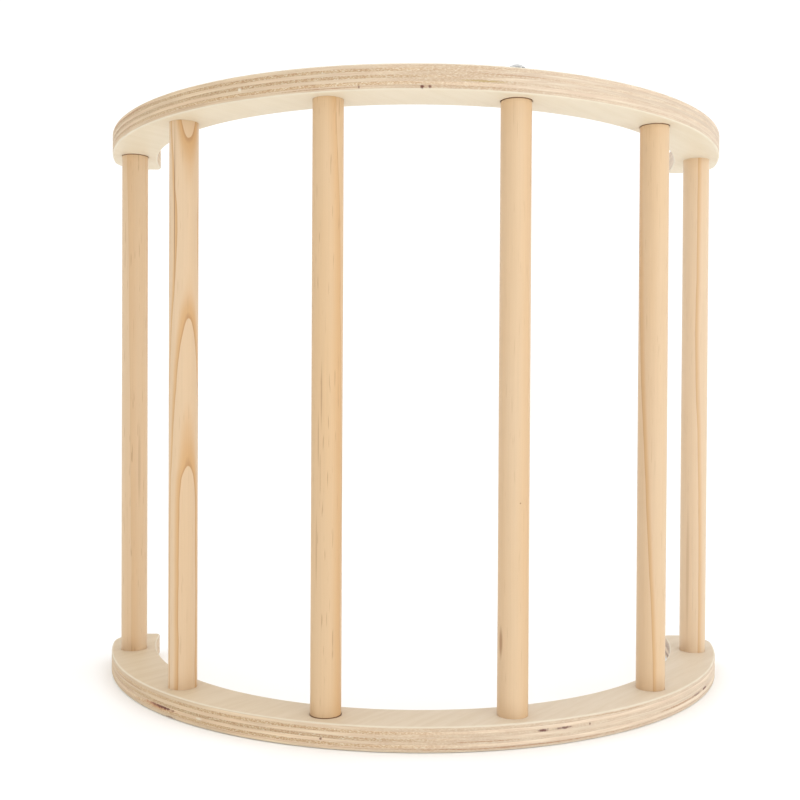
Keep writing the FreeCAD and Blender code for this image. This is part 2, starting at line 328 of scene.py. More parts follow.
class Board:
    """The look of one rail: the colours of its big faces, and how its edge changes round the arc.

    face_warmth, from 0 to 1, is how strongly painted shade darkens and warms the faces at the left.
    lean gives, against the bearing in degrees, how much the odd plies read lighter than the
    even ones, because veneer reflects by the way its grain runs. rough gives in the same way
    how open and speckled the cut end grain is.
    """

    def __init__(self, face, face_dark, face_warmth, lean, rough, marks):
        self.face = face
        self.face_dark = face_dark
        self.face_warmth = face_warmth
        self.lean = lean
        self.rough = rough
        self.marks = marks


BOTTOM_BOARD = Board(
    face=rgb(239, 222, 198), face_dark=rgb(233, 214, 187), face_warmth=0.65,
    lean=[(-80, -0.5), (-60, -0.5), (-45, 0.4), (-28, 1.0), (-12, 0.6), (0, -0.2), (20, -0.7),
          (45, -0.3), (60, -0.5), (80, -0.2)],
    rough=[(-80, 0.3), (-45, 0.8), (-25, 1.0), (-5, 0.9), (12, 0.35), (40, 0.25), (80, 0.3)],
    marks=BOTTOM_MARKS)
# Painted light: the top rail's faces are lighter than the bottom rail's, for brighter light on its
# underside.
TOP_BOARD = Board(
    face=rgb(255, 242, 217), face_dark=rgb(251, 237, 210), face_warmth=0.2,
    lean=[(-80, 0.8), (-50, 1.0), (-24, 0.7), (-8, 0.2), (10, -0.5), (25, 0.0), (50, 0.5),
          (80, 0.2)],
    rough=[(-80, 0.3), (-45, 0.7), (-25, 1.0), (5, 0.9), (20, 0.3), (50, 0.15), (80, 0.1)],
    marks=TOP_MARKS)

PLY_WAVER = 0.9 * MM
SKIN_DEPTH = 0.8 * FACE_VENEER  # where the face veneer's colour is full
PLY_SEED_STEP = 7.31  # sets the noise of each ply far from that of the next
SHEET_SEED = 0.37
DEPTH_CELLS = 1500.0  # noise cells to a metre through the board, fine enough to part the plies


def place_in_board(g, top_z):
    """Where a point lies: round the arc, down through the plies, and along its ply's grain.

    The grain runs along GRAIN_ANGLE in even plies and square to it in odd ones.
    """
    at = SimpleNamespace(top_z=top_z)
    at.x, at.y, at.z = g.position()
    at.nx, at.ny, at.nz = g.normal()
    back = g.less(at.y, CENTRE_Y)
    at.radius = g.length(at.x, back)
    at.bearing = g.calc("ARCTAN2", at.x, g.times(back, -1.0))
    at.degrees = g.times(at.bearing, 180 / math.pi)

    waver = g.less(g.noise((at.x, at.y, at.z), (14.0, 14.0, 60.0)), 0.5)
    at.depth = g.add(g.less(top_z, at.z), g.times(waver, PLY_WAVER))
    layer = g.calc("DIVIDE", g.less(at.depth, FACE_VENEER), CORE)
    index = g.calc("MINIMUM", g.calc("MAXIMUM", g.calc("FLOOR", layer), -1.0), float(CORE_COUNT))
    at.within = g.less(layer, index)
    at.odd = g.calc("PINGPONG", g.add(index, 1.0), 1.0)
    at.even = g.less(1.0, at.odd)
    at.seed = g.times(index, PLY_SEED_STEP)

    at.with_grain = g.add(g.times(at.x, GRAIN_X), g.times(back, GRAIN_Y))
    at.off_grain = g.add(g.times(at.x, -GRAIN_Y), g.times(back, GRAIN_X))
    at.along = g.add(g.times(at.with_grain, at.even), g.times(at.off_grain, at.odd))
    at.across = g.add(g.times(at.off_grain, at.even), g.times(at.with_grain, at.odd))
    return at


def end_grain_share(g, at, board):
    """How far a ply's fibres are cut across here rather than along, times the board's roughness."""
    even_ply = g.calc("ABSOLUTE", g.add(g.times(at.nx, GRAIN_X), g.times(at.ny, GRAIN_Y)))
    odd_ply = g.calc("ABSOLUTE", g.add(g.times(at.nx, -GRAIN_Y), g.times(at.ny, GRAIN_X)))
    facing = g.add(g.times(even_ply, at.even), g.times(odd_ply, at.odd))
    return g.times(g.ramp(facing, 0.40, 0.90), g.curve(at.degrees, board.rough))


def core_colour(g, at, board):
    """Colour of the plies where they are cut: streaked along the grain, speckled across it."""
    long_colour = g.colours(g.ramp(at.streak, 0.35, 0.68), PLY_PINK, PLY_LIGHT)
    end_colour = g.colours(g.ramp(at.speckle, 0.36, 0.56), PLY_END_DARK, PLY_END_LIGHT)
    end_colour = g.colours(g.ramp(at.speckle, 0.58, 0.66), end_colour, CREAM)
    colour = g.colours(g.times(at.end_grain, 0.9), long_colour, end_colour)
    # Painted shade: the plies darker and warmer towards the left, away from the key light.
    colour = g.tint(colour, g.colours(at.warm, WHITE, LEFT_SHADE_TINT))

    cloud = g.noise((at.x, at.y, at.z), (22.0, 22.0, 90.0), at.seed)
    sheet = g.noise((at.seed, SHEET_SEED, at.top_z), (1.0, 1.0, 1.0), detail=0.0)
    lean = g.times(g.curve(at.degrees, board.lean), g.ramp(cloud, 0.25, 0.75))
    lean_tone = g.times(lean, g.less(at.odd, 0.5), 0.26)
    return g.shade(colour, g.add(g.tone((cloud, 0.16), (sheet, 0.22), (at.streak, 0.20)), lean_tone))


def face_colour(g, at, board):
    """Colour of the two big faces: broad pith bands and fine flakes, all along one grain."""
    point = (at.with_grain, at.off_grain, at.top_z)
    pith = g.noise(point, (10.0, 150.0, 1.0), detail=4.0)
    flake = g.noise(point, (90.0, 900.0, 1.0))
    shade = g.add(g.times(pith, 0.7), g.times(flake, 0.3))
    colour = g.colours(g.ramp(shade, 0.35, 0.65), board.face, board.face_dark)
    # Painted shade: the faces darker and warmer towards the left, away from the key light.
    warmth = g.times(at.warm, board.face_warmth)
    return g.tint(colour, g.colours(warmth, WHITE, LEFT_SHADE_TINT))


def with_marks(g, at, colour, marks):
    """The colour with each mark's ragged patch laid over it."""
    outside = g.ramp(at.radius, BAR_CIRCLE, BAR_CIRCLE + MM)
    inside = g.less(1.0, outside)
    ragged = g.less(g.noise((at.x, at.y, at.z), (520.0, 520.0, 700.0)), 0.5)
    for mark in marks:
        slide = g.times(g.less(at.bearing, mark.bearing), OUTER_RADIUS * 2 / mark.length)
        drop = g.times(g.less(at.depth, mark.depth), 2 / mark.height)
        patch = g.ramp(g.add(g.length(slide, drop), g.times(ragged, 1.3)), 1.1, 0.3)
        side = inside if mark.inner else outside
        colour = g.colours(g.times(patch, side, mark.strength), colour, mark.colour)
    return colour


def plywood(name, top_z, board):
    """Solid texture of a nine-ply board whose upper face lies at top_z."""
    g = Graph(name)
    at = place_in_board(g, top_z)
    # Painted shade: 1 on the rail's left side, away from the key light, fading to 0 towards the
    # right.
    at.warm = g.ramp(at.bearing, math.radians(25), math.radians(-50))
    at.end_grain = end_grain_share(g, at, board)
    ply_point = (at.along, at.across, at.z)
    at.streak = g.noise(ply_point, (10.0, 75.0, DEPTH_CELLS), at.seed, detail=3.0, roughness=0.6)
    at.speckle = g.noise(ply_point, (320.0, 620.0, DEPTH_CELLS), at.seed, roughness=0.6)

    skin = g.calc("MAXIMUM", g.ramp(at.depth, FACE_VENEER, SKIN_DEPTH),
                  g.ramp(at.depth, THICKNESS - FACE_VENEER, THICKNESS - SKIN_DEPTH))
    colour = g.colours(skin, core_colour(g, at, board), face_colour(g, at, board))

    to_glue = g.calc("MINIMUM", at.within, g.less(1.0, at.within))
    broken = g.ramp(g.noise((at.x, at.y, at.seed), (60.0, 60.0, 1.0)), 0.42, 0.66)
    glue = g.times(g.ramp(to_glue, 0.10, 0.02), broken)
    colour = g.colours(g.times(glue, 0.5), colour, GLUE_BROWN)

    upright = g.calc("ABSOLUTE", at.nz)
    arris = g.times(g.ramp(upright, 0.15, 0.5), g.ramp(upright, 0.995, 0.9))
    colour = g.colours(g.times(arris, 0.55), colour, CREAM)
    colour = with_marks(g, at, colour, board.marks)

    height = g.add(g.times(at.streak, 0.5), g.times(at.speckle, at.end_grain, 0.8),
                   g.times(glue, -0.6))
    roughness = g.add(0.46, g.times(at.end_grain, 0.16), g.times(at.streak, 0.08))
    return g.finish(colour, roughness, height, WOOD_RELIEF, Specular_IOR_Level=0.3)


# ---------------------------------------------------------------- pine

class Grain:
    """How one bar was cut from the tree, and how it has been marked since.

    pith_side is the bearing of the pith seen from the bar, in degrees, 0 towards the front and
    90 to the right; pith_distance and ring_width are in mm. rise tells, from the top of the bar
    (0) to the bottom (1), by how many rings the pattern has moved. contrast is how strongly the
    rings show and flame the share of a ring that is dark. warmth, from 0 to 1, is how orange the
    wood is, and dashes how strongly its resin lines show. spots are local stains.
    """

    def __init__(self, pith_side, pith_distance, ring_width, rise, contrast, flame, warmth,
                 dashes, spots=()):
        self.pith_side = math.radians(pith_side)
        self.pith_distance = pith_distance * MM
        self.ring_width = ring_width * MM
        self.rise = rise
        self.contrast = contrast
        self.flame = flame
        self.warmth = warmth
        self.dashes = dashes
        self.spots = spots


class Spot:
    """A stain on a bar, with its middle a share of the length down and at a bearing in degrees.

    length and width are in mm.
    """

    def __init__(self, down, bearing, length, width, strength):
        self.down = down
        self.bearing = math.radians(bearing)
        self.length = length * MM
        self.width = width * MM
        self.strength = strength


EARLY = rgb(244, 216, 181)
EARLY_WARM = rgb(233, 196, 149)
FLAME = rgb(228, 180, 122)
RING_LINE = rgb(186, 134, 88)
# Brown of resin dashes and stains, and of the painted shade just above the lower rail.
DASH_AND_SHADE = rgb(172, 126, 88)
# Painted shadow: the dark line on a bar where it enters a rail loosely.
SHADOW_BROWN = rgb(140, 100, 68)

BAR_GRAIN = [
    Grain(pith_side=110, pith_distance=60, ring_width=15.0,
          rise=[(0, 0.2), (0.5, 0.35), (1, 0.45)],
          contrast=0.3, flame=0.5, warmth=0.4, dashes=0.4,
          spots=[Spot(0.62, 35, 90, 3.5, 0.25)]),
    Grain(pith_side=211, pith_distance=20, ring_width=5.2,
          rise=[(0, 1.26), (0.052, 1.0), (0.13, 0.66), (0.2, 0.45), (0.28, 0.6), (0.36, 1.0),
                (0.43, 1.32), (0.5, 1.64), (0.595, 2.0), (0.65, 2.25), (0.8, 2.28), (1, 2.32)],
          contrast=0.85, flame=0.48, warmth=0.3, dashes=0.15,
          spots=[Spot(0.16, -27, 170, 1.3, 0.8)]),
    Grain(pith_side=-86, pith_distance=60, ring_width=24.0,
          rise=[(0, 0.205), (0.1, 0.16), (0.25, 0.08), (0.45, 0.046), (1, 0.03)],
          contrast=0.55, flame=0.3, warmth=0.75, dashes=0.45,
          spots=[Spot(0.48, -17, 60, 1.6, 0.45), Spot(0.55, -29, 50, 1.4, 0.4),
                 Spot(0.72, -36, 70, 1.8, 0.35)]),
    Grain(pith_side=-100, pith_distance=80, ring_width=24.0,
          rise=[(0, -0.02), (0.5, 0.03), (1, -0.05)],
          contrast=0.3, flame=0.35, warmth=0.45, dashes=0.15,
          spots=[Spot(0.646, 18, 1.6, 1.6, 0.8), Spot(0.865, -58, 28, 5, 0.7)]),
    Grain(pith_side=76, pith_distance=80, ring_width=24.0,
          rise=[(0, -0.05), (0.38, 0.06), (0.5, 0.128), (0.6, 0.2), (0.75, 0.34), (0.9, 0.47),
                (1, 0.52)],
          contrast=0.7, flame=0.16, warmth=0.4, dashes=0.15),
    Grain(pith_side=74, pith_distance=80, ring_width=24.0,
          rise=[(0, 0.49), (0.2, 0.48), (0.38, 0.445), (0.55, 0.54), (0.7, 0.60), (0.9, 0.625),
                (1, 0.63)],
          contrast=0.6, flame=0.18, warmth=0.0, dashes=0.12,
          spots=[Spot(0.82, -40, 150, 4, 0.25)]),
]

# Bars that sit loosely in their sockets, with a wider gap round them and a painted shadow line on the
# bar at that rail.
LOOSE = {"top_rail": (1, 4, 5), "bottom_rail": (3,)}


RING_SWAY = 1.6 * MM
RING_RIPPLE = 0.8 * MM
RING_EDGE = 0.06 * MM  # how abruptly dark late wood gives way to the next year's light wood
RING_LINE_WIDTH = 0.45 * MM
PAINTED_SHADE_HEIGHT = 16 * MM
SHADOW_LINE_END = 0.3 * MM
SHADOW_LINE_START = 0.7 * MM


def place_in_bar(g, place):
    """Where a point lies from the bar's axis, to the right and to the front, and down the bar."""
    x, y, z = g.position()
    at = SimpleNamespace(z=z, seed=place.x * 100 + 50)
    at.right = g.less(x, place.x)
    at.front = g.times(g.less(y, place.y), -1.0)
    at.down = g.times(g.less(BAR_LOW.z + BAR_LENGTH, z), 1 / BAR_LENGTH)
    return at


def growth_rings(g, at, grain):
    """Two fields: the dark share of each growth ring, and the thin line that ends it."""
    sway = g.less(g.noise((at.z, at.seed, 0.0), (9.0, 1.0, 1.0)), 0.5)
    ripple = g.less(g.noise((at.z, at.right, at.seed), (30.0, 70.0, 1.0)), 0.5)
    from_pith = g.length(g.less(at.right, grain.pith_distance * math.sin(grain.pith_side)),
                         g.less(at.front, grain.pith_distance * math.cos(grain.pith_side)))
    outward = g.add(from_pith, g.times(sway, RING_SWAY), g.times(ripple, RING_RIPPLE),
                    -grain.pith_distance - BAR_RADIUS)
    ring = g.add(g.times(outward, 1 / grain.ring_width), g.curve(at.down, grain.rise))
    phase = g.calc("FRACT", g.add(ring, 10.0))  # 10 rings keep the sum above zero
    sharp = g.ramp(phase, 1.0, 1 - RING_EDGE / grain.ring_width)
    flame = g.times(g.ramp(phase, 1 - grain.flame, 0.97), sharp)
    line = g.times(g.ramp(phase, 1 - RING_LINE_WIDTH / grain.ring_width, 0.985), sharp)
    return flame, line


def with_spots(g, at, colour, spots):
    """The colour with each spot's soft patch laid over it."""
    for spot in spots:
        away = g.length(g.less(at.right, BAR_RADIUS * math.sin(spot.bearing)),
                        g.less(at.front, BAR_RADIUS * math.cos(spot.bearing)))
        aside = g.times(away, 2 / spot.width)
        drop = g.times(g.less(at.down, spot.down), 2 * BAR_LENGTH / spot.length)
        patch = g.ramp(g.length(aside, drop), 1.0, 0.3)
        colour = g.colours(g.times(patch, spot.strength), colour, DASH_AND_SHADE)
    return colour


def with_ends(g, at, colour, cloud, index):
    """Painted shade above the lower rail, and a painted shadow line where a loose bar enters a rail.
    """
    lower, upper = THICKNESS, TOTAL_HEIGHT - THICKNESS
    # Painted shade: blotchy darkening of the bar just above the lower rail, where it meets the rail.
    painted_rail_shade = g.times(g.ramp(at.z, lower + PAINTED_SHADE_HEIGHT, lower), g.ramp(cloud, 0.3, 0.7))
    colour = g.colours(g.times(painted_rail_shade, 0.3), colour, DASH_AND_SHADE)
    # Painted shadow line on the bar just outside each rail it sits loosely in.
    if index in LOOSE["bottom_rail"]:
        shadow_line = g.ramp(at.z, lower + SHADOW_LINE_START, lower + SHADOW_LINE_END)
        colour = g.colours(shadow_line, colour, SHADOW_BROWN)
    if index in LOOSE["top_rail"]:
        shadow_line = g.ramp(at.z, upper - SHADOW_LINE_START, upper - SHADOW_LINE_END)
        colour = g.colours(shadow_line, colour, SHADOW_BROWN)
    return colour


def pine(name, index, place, grain):
    """Solid texture of a turned pine bar: curved growth rings, fibres and resin lines."""
    g = Graph(name)
    at = place_in_bar(g, place)
    flame, line = growth_rings(g, at, grain)
    fibre = g.noise((at.right, at.front, at.z), (1300.0, 1300.0, 14.0), detail=4.0, roughness=0.6)
    cloud = g.noise((at.right, at.z, at.front), (55.0, 6.0, 55.0), at.seed)
    dash = g.ramp(g.noise((at.right, at.front, at.z), (900.0, 900.0, 48.0), at.seed, detail=1.0),
                  0.66, 0.76)

    colour = g.colours(g.add(grain.warmth - 0.35, g.times(cloud, 0.7)), EARLY, EARLY_WARM)
    colour = g.colours(g.times(flame, grain.contrast), colour, FLAME)
    colour = g.colours(g.times(line, grain.contrast * 0.5), colour, RING_LINE)
    colour = g.colours(g.times(dash, grain.dashes), colour, DASH_AND_SHADE)
    colour = g.shade(colour, g.tone((fibre, 0.13), (cloud, 0.08)))
    colour = with_spots(g, at, colour, grain.spots)
    colour = with_ends(g, at, colour, cloud, index)

    height = g.add(g.times(fibre, 0.7), g.times(flame, 0.3), g.times(dash, -0.4))
    roughness = g.add(0.42, g.times(fibre, 0.10), g.times(flame, -0.04))
    return g.finish(colour, roughness, height, WOOD_RELIEF, Specular_IOR_Level=0.35)


# ---------------------------------------------------------------- metal

SCUFF_RELIEF = 0.001 * MM


def metal(name, light, dark, base_roughness, cells):
    """Plated or cast metal: a faint mottle in colour and gloss, and fine scuffs."""
    g = Graph(name)
    point = g.position()
    mottle = g.noise(point, (cells, cells, cells), detail=3.0)
    scuff = g.noise(point, (cells * 6, cells, cells * 3))
    colour = g.colours(g.ramp(mottle, 0.35, 0.65), (*dark, 1.0), (*light, 1.0))
    roughness = g.add(base_roughness, g.times(g.less(scuff, 0.5), 0.2))
    return g.finish(colour, roughness, scuff, SCUFF_RELIEF, Metallic=1.0)


# ---------------------------------------------------------------- meshes

def direction(bearing):
    """The level unit vector at a bearing."""
    return Vector((math.sin(bearing), -math.cos(bearing), 0))


def add_piece(name, vertices, faces, material, node, soft_angle=SOFT_ANGLE):
    """Link one closed mesh as a piece that stands for a CAD node."""
    mesh = bpy.data.meshes.new(name)
    mesh.from_pydata(vertices, [], faces)
    piece = bpy.data.objects.new(name, mesh)
    bpy.context.scene.collection.objects.link(piece)
    mesh.materials.append(material)
    smooth(mesh, soft_angle)
    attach(piece, "root")
    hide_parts(node)
    return piece


def smooth(mesh, soft_angle):
    mesh.polygons.foreach_set("use_smooth", [True] * len(mesh.polygons))
    mesh.set_sharp_from_angle(angle=math.radians(soft_angle))


def lathe(profile, segments, place):
    """A solid turned about the Z axis, then moved by the matrix place.

    profile runs from the axis round the outside back to the axis, as pairs of height and
    radius; a radius may be a function of the angle. Returns vertices and faces.
    """
    vertices, rings = [], []
    angles = [2 * math.pi * step / segments for step in range(segments)]
    for height, radius in profile:
        start = len(vertices)
        if radius == 0:
            vertices.append(Vector((0, 0, height)))
            rings.append([start] * segments)
            continue
        for angle in angles:
            reach = radius(angle) if callable(radius) else radius
            vertices.append(Vector((reach * math.cos(angle), reach * math.sin(angle), height)))
        rings.append(list(range(start, start + segments)))
    faces = []
    for lower, upper in zip(rings, rings[1:]):
        for step in range(segments):
            following = (step + 1) % segments
            corners = [lower[step], lower[following], upper[following], upper[step]]
            faces.append(list(dict.fromkeys(corners)))
    return [place @ vertex for vertex in vertices], faces


# ---------------------------------------------------------------- rails

ARC_STEPS = 240
CORNER_STEPS = 14
EDGE_STEPS = 5
BORE_SEGMENTS = 64
INNER_RUN = 3  # place of the inner arc among the runs of a rail's outline
GROOVE_HALF = 0.12 * MM
GROOVE_DEPTH = 0.06 * MM
PLY_STEP = 0.04 * MM
CUT_SPILL = 0.6 * MM


def corner_centre(arc_radius, corner_radius, side):
    """Centre of a round corner between a rail's arc and its flat end."""
    y = -(END_SETBACK + corner_radius)
    return Vector((side * math.sqrt(arc_radius ** 2 - y ** 2), y, 0))


def spread(start, end, steps):
    """Evenly spaced values from start to end, both included."""
    return [start + (end - start) * step / steps for step in range(steps + 1)]


def rail_outline():
    """Points and outward normals round the C, anticlockwise, and where the inner arc's run starts."""
    outer_end = corner_centre(OUTER_RADIUS - OUTER_CORNER, OUTER_CORNER, 1)
    inner_end = corner_centre(INNER_RADIUS + INNER_CORNER, INNER_CORNER, 1)
    outer_limit = math.atan2(outer_end.x, -outer_end.y)
    inner_limit = math.atan2(inner_end.x, -inner_end.y)
    half_turn = math.pi
    arc = spread(-outer_limit, outer_limit, ARC_STEPS)
    inner_arc = [inner_limit, *reversed(arc), -inner_limit]
    mirror = Vector((-1, 1, 1))
    runs = [
        (Vector(), OUTER_RADIUS, arc),
        (outer_end, OUTER_CORNER, spread(outer_limit, half_turn, CORNER_STEPS)[1:]),
        (inner_end, INNER_CORNER, spread(half_turn, half_turn + inner_limit, CORNER_STEPS)[:-1]),
        (Vector(), -INNER_RADIUS, [bearing + half_turn for bearing in inner_arc]),
        (inner_end * mirror, INNER_CORNER,
         spread(half_turn - inner_limit, half_turn, CORNER_STEPS)[1:]),
        (outer_end * mirror, OUTER_CORNER,
         spread(half_turn, 2 * half_turn - outer_limit, CORNER_STEPS)[:-1]),
    ]
    outline, starts = [], []
    for centre, radius, bearings in runs:
        starts.append(len(outline))
        outline += [(centre + direction(b) * radius, direction(b)) for b in bearings]
    return outline, starts[INNER_RUN]


def edge_section():
    """Pairs of height and inset up a rail's edge.

    It has rounded arrises, a groove at each glue line between cores, and cores that stand proud
    of their neighbours by turns.
    """
    quarter = spread(0, math.pi / 2, EDGE_STEPS)
    lower = [(EDGE_ROUND * (1 - math.cos(a)), EDGE_ROUND * (1 - math.sin(a))) for a in quarter]
    upper = [(THICKNESS - height, inset) for height, inset in reversed(lower)]
    plies = []
    for core in range(1, CORE_COUNT):
        line = FACE_VENEER + core * CORE
        below, above = (PLY_STEP, 0.0) if core % 2 else (0.0, PLY_STEP)
        plies += [(line - GROOVE_HALF, below), (line, GROOVE_DEPTH), (line + GROOVE_HALF, above)]
    return lower + plies + upper


def rail_mesh():
    """Vertices and faces of one rail without its bores, lying on z = 0 about the arc's centre."""
    outline, inner_start = rail_outline()
    section = edge_section()
    count = len(outline)
    vertices = []
    for height, inset in section:
        up = Vector((0, 0, height))
        vertices += [point - normal * inset + up for point, normal in outline]
    faces = []
    for level in range(len(section) - 1):
        low, high = level * count, (level + 1) * count
        for here in range(count):
            there = (here + 1) % count
            faces.append([low + here, low + there, high + there, high + here])
    inner_first = inner_start + 1  # the inner arc's point opposite the outer arc's last one
    cap = []
    for step in range(ARC_STEPS):
        opposite = inner_first + ARC_STEPS - step
        cap.append([step, step + 1, opposite - 1, opposite])
    cap.append(list(range(ARC_STEPS, inner_first + 1)))
    cap.append([0] + list(range(inner_first + ARC_STEPS, count)))
    last = (len(section) - 1) * count
    faces += [list(reversed(face)) for face in cap]
    faces += [[last + index for index in face] for face in cap]
    return vertices, faces


def bore_profile(gap):
    """The counterbore, bolt hole and dowel socket as one solid to cut away."""
    socket = BAR_RADIUS + gap
    return [
        (-CUT_SPILL, 0),
        (-CUT_SPILL, COUNTERBORE_RADIUS + RIM_CHAMFER + CUT_SPILL),
        (RIM_CHAMFER, COUNTERBORE_RADIUS),
        (COUNTERBORE_DEPTH, COUNTERBORE_RADIUS),
        (COUNTERBORE_DEPTH, BOLT_HOLE_RADIUS),
        (SOCKET_FLOOR, BOLT_HOLE_RADIUS),
        (SOCKET_FLOOR, socket),
        (THICKNESS - gap, socket),
        (THICKNESS + CUT_SPILL, socket + gap + CUT_SPILL),
        (THICKNESS + CUT_SPILL, 0),
    ]


def cut_bores(piece, loose, mirror):
    """Take six stepped bores out of a rail that still lies about the arc's centre."""
    vertices, faces = [], []
    for index, place in enumerate(BAR_PLACES, start=1):
        shift = Matrix.Translation((mirror * place.x, place.y - CENTRE_Y, 0))
        profile = bore_profile(LOOSE_GAP if index in loose else TIGHT_GAP)
        points, sides = lathe(profile, BORE_SEGMENTS, shift)
        faces += [[len(vertices) + corner for corner in side] for side in sides]
        vertices += points
    mesh = bpy.data.meshes.new("bores")
    mesh.from_pydata(vertices, [], faces)
    cutter = bpy.data.objects.new("bores", mesh)
    bpy.context.scene.collection.objects.link(cutter)
    cut = piece.modifiers.new("bores", "BOOLEAN")
    cut.object = cutter
    cut.operation = "DIFFERENCE"
    cut.solver = "EXACT"
    graph = bpy.context.evaluated_depsgraph_get()
    result = bpy.data.meshes.new_from_object(piece.evaluated_get(graph))
    piece.modifiers.clear()
    piece.data = result
    bpy.data.objects.remove(cutter)


def build_rail(name, node, material, place, mirror):
    """One rail, bored and put in its place; mirror is -1 for the rail that place turns over."""
    vertices, faces = rail_mesh()
    rail = add_piece(name, vertices, faces, material, node)
    cut_bores(rail, LOOSE[node], mirror)
    rail.data.transform(place)
    smooth(rail.data, SOFT_ANGLE)


# ---------------------------------------------------------------- bars and bolts

BAR_SEGMENTS = 72
BAR_STEPS = 48
OVAL = 0.05 * MM
SWELL = 0.05 * MM
SWELL_ANGLE = 9  # radians of the swell's wave from end to end


def build_bar(index, place, material):
    """A turned bar: chamfered, drilled at both ends, and very slightly oval and uneven."""
    def body_radius(height):
        narrow = SWELL * (1 + math.cos(height / BAR_LENGTH * SWELL_ANGLE + index)) / 2
        return lambda angle: BAR_RADIUS - narrow - OVAL * math.cos(angle - index) ** 2

    lengths = spread(BAR_CHAMFER, BAR_LENGTH - BAR_CHAMFER, BAR_STEPS)
    shoulder = BAR_RADIUS - BAR_CHAMFER
    profile = [(DRILL_DEPTH + DRILL_TIP, 0), (DRILL_DEPTH, DRILL_RADIUS), (0, DRILL_RADIUS),
               (0, shoulder)]
    profile += [(height, body_radius(height)) for height in lengths]
    profile += [(BAR_LENGTH, shoulder), (BAR_LENGTH, DRILL_RADIUS),
                (BAR_LENGTH - DRILL_DEPTH, DRILL_RADIUS),
                (BAR_LENGTH - DRILL_DEPTH - DRILL_TIP, 0)]
    base = Matrix.Translation((place.x, place.y, BAR_LOW.z))
    vertices, faces = lathe(profile, BAR_SEGMENTS, base)
    add_piece("bar_{}".format(index), vertices, faces, material, "dowel_{}".format(index))


BOLT_LENGTH = 20 * MM
BOLT_RADIUS = 3 * MM
THREAD_PITCH = 1 * MM
THREAD_DEPTH = 0.55 * MM
THREAD_FLANK = 1.4  # above 1 the crests of the thread are flat
RINGS_PER_TURN = 6
BOLT_SEGMENTS = 36
DOME_STEPS = 10
BOLT_TIP = 0.8 * MM
HEAD_RADIUS = 6.8 * MM
HEAD_HEIGHT = 3.3 * MM
HEAD_RIM = 0.5 * MM
HEAD_FLAT = 3 * MM
KEY_APOTHEM = 2 * MM
KEY_DEPTH = 2.1 * MM
BEVEL = 0.12 * MM


def thread_radius(height):
    """Radius of the screw thread at a height, as a function of the angle."""
    def radius(angle):
        turn = (height / THREAD_PITCH - angle / (2 * math.pi)) % 1
        crest = min(1.0, THREAD_FLANK * abs(2 * turn - 1))
        return BOLT_RADIUS - THREAD_DEPTH * (1 - crest)
    return radius


def key_radius(apothem):
    """Radius of a hexagon as a function of the angle."""
    sixth = math.pi / 3
    return lambda angle: apothem / math.cos(angle % sixth - sixth / 2)


def bolt_profile():
    """Heights and radii of a button-head bolt whose seat is at z = 0."""
    rise = HEAD_HEIGHT - HEAD_RIM
    below = (HEAD_RADIUS ** 2 - HEAD_FLAT ** 2 - rise ** 2) / (2 * rise)
    dome = math.hypot(HEAD_FLAT, rise + below)
    start, end = math.atan2(below, HEAD_RADIUS), math.atan2(rise + below, HEAD_FLAT)
    profile = [(-BOLT_LENGTH, 0), (-BOLT_LENGTH, BOLT_RADIUS - BOLT_TIP)]
    rings = int((BOLT_LENGTH - BOLT_TIP - BEVEL) / THREAD_PITCH * RINGS_PER_TURN)
    threaded = spread(BOLT_TIP - BOLT_LENGTH, -BEVEL, rings)
    profile += [(height, thread_radius(height)) for height in threaded]
    profile += [(0, BOLT_RADIUS), (0, HEAD_RADIUS - BEVEL), (BEVEL, HEAD_RADIUS)]
    profile += [(HEAD_RIM - below + dome * math.sin(a), dome * math.cos(a))
                for a in spread(start, end, DOME_STEPS)]
    floor = HEAD_HEIGHT - KEY_DEPTH
    profile += [(HEAD_HEIGHT, key_radius(KEY_APOTHEM + BEVEL)),
                (HEAD_HEIGHT - BEVEL, key_radius(KEY_APOTHEM)),
                (floor, key_radius(KEY_APOTHEM)), (floor - BEVEL, 0)]
    return profile


def build_bolt(node, material, upside_down):
    """A bolt in the place of its CAD node; upside_down ones have their heads below."""
    low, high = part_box(node)
    seat = low.z + HEAD_HEIGHT if upside_down else high.z - HEAD_HEIGHT
    centre = node_centre(node)
    place = Matrix.Translation((centre.x, centre.y, seat))
    if upside_down:
        place = place @ Matrix.Rotation(math.pi, 4, "Y")
    vertices, faces = lathe(bolt_profile(), BOLT_SEGMENTS, place)
    add_piece(node.replace("bolt", "screw"), vertices, faces, material, node,
              METAL_SOFT_ANGLE)


# ---------------------------------------------------------------- studio

def build_floor():
    """A wide pale floor just under the lowest rail."""
    half, gap = 30.0, 0.2 * MM
    mesh = bpy.data.meshes.new("floor")
    corners = [(-half, -half, -gap), (half, -half, -gap), (half, half, -gap), (-half, half, -gap)]
    mesh.from_pydata(corners, [], [(0, 1, 2, 3)])
    floor = bpy.data.objects.new("floor", mesh)
    bpy.context.scene.collection.objects.link(floor)
    g = Graph("pale_floor")
    x, y, _ = g.position()
    speck = g.noise((x, y, 0.0), (900.0, 900.0, 1.0))
    colour = g.colours(speck, (0.965, 0.965, 0.96, 1.0), (0.99, 0.99, 0.985, 1.0))
    mesh.materials.append(g.finish(colour, 0.7, speck, 0.02 * MM, Specular_IOR_Level=0.2))


